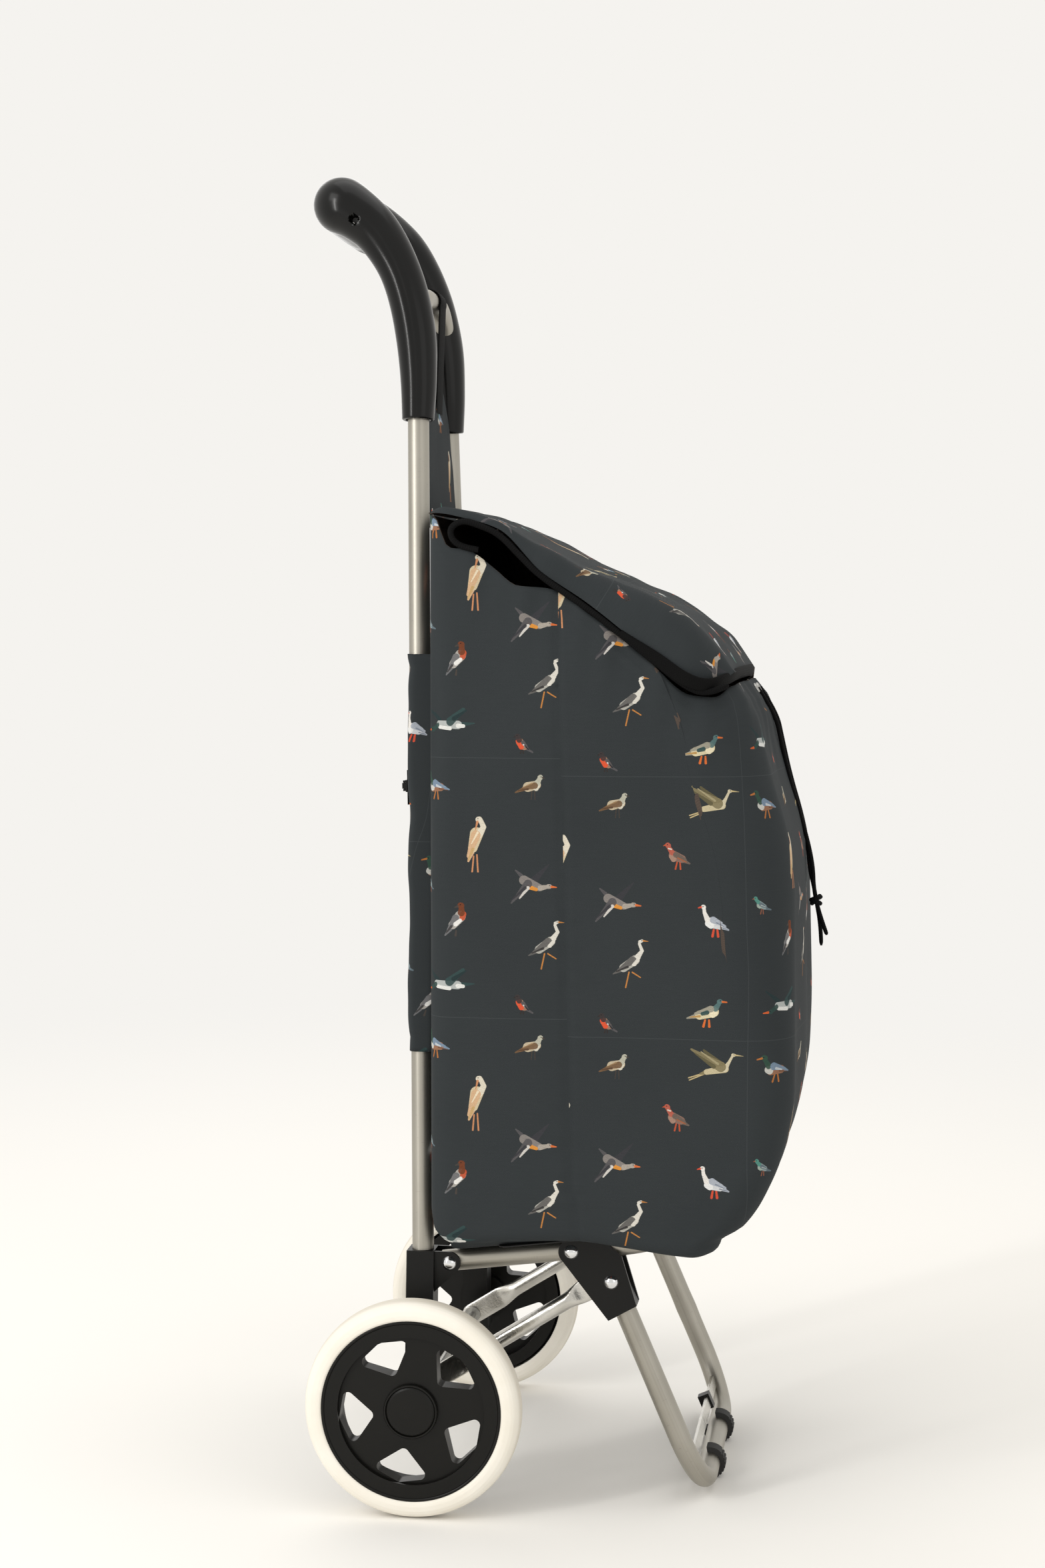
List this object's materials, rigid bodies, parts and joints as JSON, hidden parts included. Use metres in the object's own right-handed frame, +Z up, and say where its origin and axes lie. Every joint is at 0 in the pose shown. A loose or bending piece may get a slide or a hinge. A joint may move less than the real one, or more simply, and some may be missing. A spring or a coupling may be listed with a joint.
{
  "type": "shopping trolley",
  "caption": "Two-wheeled folding shopping trolley: bent tube frame with a moulded handle, a folding base and stand, and a tall fabric bag with a lift-up flap.",
  "frame": {"origin": "on the floor, under the middle of the trolley's box without the free cord ends", "axes": "+Z up, +X forwards from the handle towards the stand, +Y to the left along the axle"},
  "size_m": [0.3898, 0.3666, 0.9855],
  "materials": {
    "frame_tube": "brushed, clear anodised tube",
    "steel": "zinc plated steel",
    "rivet_chrome": "polished domed heads",
    "black_moulding": "satin moulded plastic",
    "bush_nylon": "natural nylon",
    "handle_gloss": "glossy moulded plastic",
    "tyre_cream": "cream white foam tyre",
    "foot_rubber": "black rubber",
    "bag_print": "slate woven polyester with small printed water birds",
    "bag_lining": "dark brown lining",
    "black_webbing": "black webbing and tape",
    "black_cord": "black braided cord",
    "board_plastic": "rigid board"
  },
  "bodies": {
    "frame": {"upright_left": "frame_tube", "upright_right": "frame_tube", "hoop": "frame_tube", "rear_bracket_left": "black_moulding", "rear_bracket_right": "black_moulding", "rivets_a": "rivet_chrome", "axle": "steel", "axle_clips": "steel", "axle_nuts": "steel", "handle_front_shell": "handle_gloss", "handle_rear_shell": "handle_gloss", "handle_screws": "steel", "bag_shell": "bag_print", "bag_lining": "bag_lining", "tongue": "bag_print", "hanger_loop": "black_webbing", "rear_pocket": "bag_print", "zip_tape": "black_webbing", "rim_cord_left": "black_cord", "rim_cord_right": "black_cord", "cord_tail_left": "black_cord", "cord_tail_right": "black_cord", "drawcord_knot": "black_cord", "eyelets": "steel"},
    "wheel_left": {"tyre_left": "tyre_cream", "hub_left": "black_moulding", "hub_cap_left": "black_moulding", "wheel_bush_left": "bush_nylon"},
    "wheel_right": {"tyre_right": "tyre_cream", "hub_right": "black_moulding", "hub_cap_right": "black_moulding", "wheel_bush_right": "bush_nylon"},
    "platform": {"platform_tube": "frame_tube", "base_board": "board_plastic"},
    "stand": {"front_bracket_left": "black_moulding", "front_bracket_right": "black_moulding", "stand_leg": "frame_tube", "stand_strip": "frame_tube", "strip_clip": "black_moulding", "foot_left": "foot_rubber", "foot_right": "foot_rubber", "rivets_b": "rivet_chrome", "rivets_c": "rivet_chrome"},
    "link_left": {"link_left": "frame_tube", "link_pin_left": "steel"},
    "link_right": {"link_right": "frame_tube", "link_pin_right": "steel"},
    "flap": {"lid_flap": "bag_print", "flap_band": "black_webbing"},
    "slider": {"zip_slider": "black_moulding"},
    "puller": {"zip_puller": "black_moulding"}
  },
  "joints": [
    {"name": "base_fold", "type": "hinge", "parent": "frame", "child": "platform", "pos_m": [-0.07045, 0, 0.1781], "axis": [0, -1, 0], "range_deg": [0, 78], "deforming": ["bag_shell", "bag_lining"]},
    {"name": "stand_fold", "type": "hinge", "parent": "platform", "child": "stand", "pos_m": [0.02025, 0, 0.1893], "axis": [0, -1, 0], "range_deg": [-99, 0.1]},
    {"name": "link_left_swing", "type": "hinge", "parent": "frame", "child": "link_left", "pos_m": [-0.09075, 0.1015, 0.08], "axis": [0, -1, 0], "range_deg": [-0.1, 41.2]},
    {"name": "link_right_swing", "type": "hinge", "parent": "frame", "child": "link_right", "pos_m": [-0.09075, -0.1015, 0.08], "axis": [0, -1, 0], "range_deg": [-0.1, 41.2]},
    {"name": "wheel_left_spin", "type": "hinge", "parent": "frame", "child": "wheel_left", "pos_m": [-0.09075, 0.1695, 0.08], "axis": [0, 1, 0], "continuous": true},
    {"name": "wheel_right_spin", "type": "hinge", "parent": "frame", "child": "wheel_right", "pos_m": [-0.09075, -0.1695, 0.08], "axis": [0, 1, 0], "continuous": true},
    {"name": "flap_lift", "type": "hinge", "parent": "frame", "child": "flap", "pos_m": [-0.08075, 0, 0.73], "axis": [0, -1, 0], "range_deg": [0, 85]},
    {"name": "zip_slide", "type": "slide", "parent": "frame", "child": "slider", "axis": [0, 1, 0], "range_m": [0, 0.13]},
    {"name": "puller_swing", "type": "hinge", "parent": "slider", "child": "puller", "pos_m": [-0.11603, -0.064, 0.52694], "axis": [-0.0202, 0, 0.9998], "range_deg": [0, 170]}
  ],
  "couplings": [
    {"joint": "stand_fold", "follows": "base_fold", "ratio": -1.2679},
    {"joint": "link_left_swing", "follows": "base_fold", "ratio": 0.5269},
    {"joint": "link_right_swing", "follows": "base_fold", "ratio": 0.5269}
  ]
}
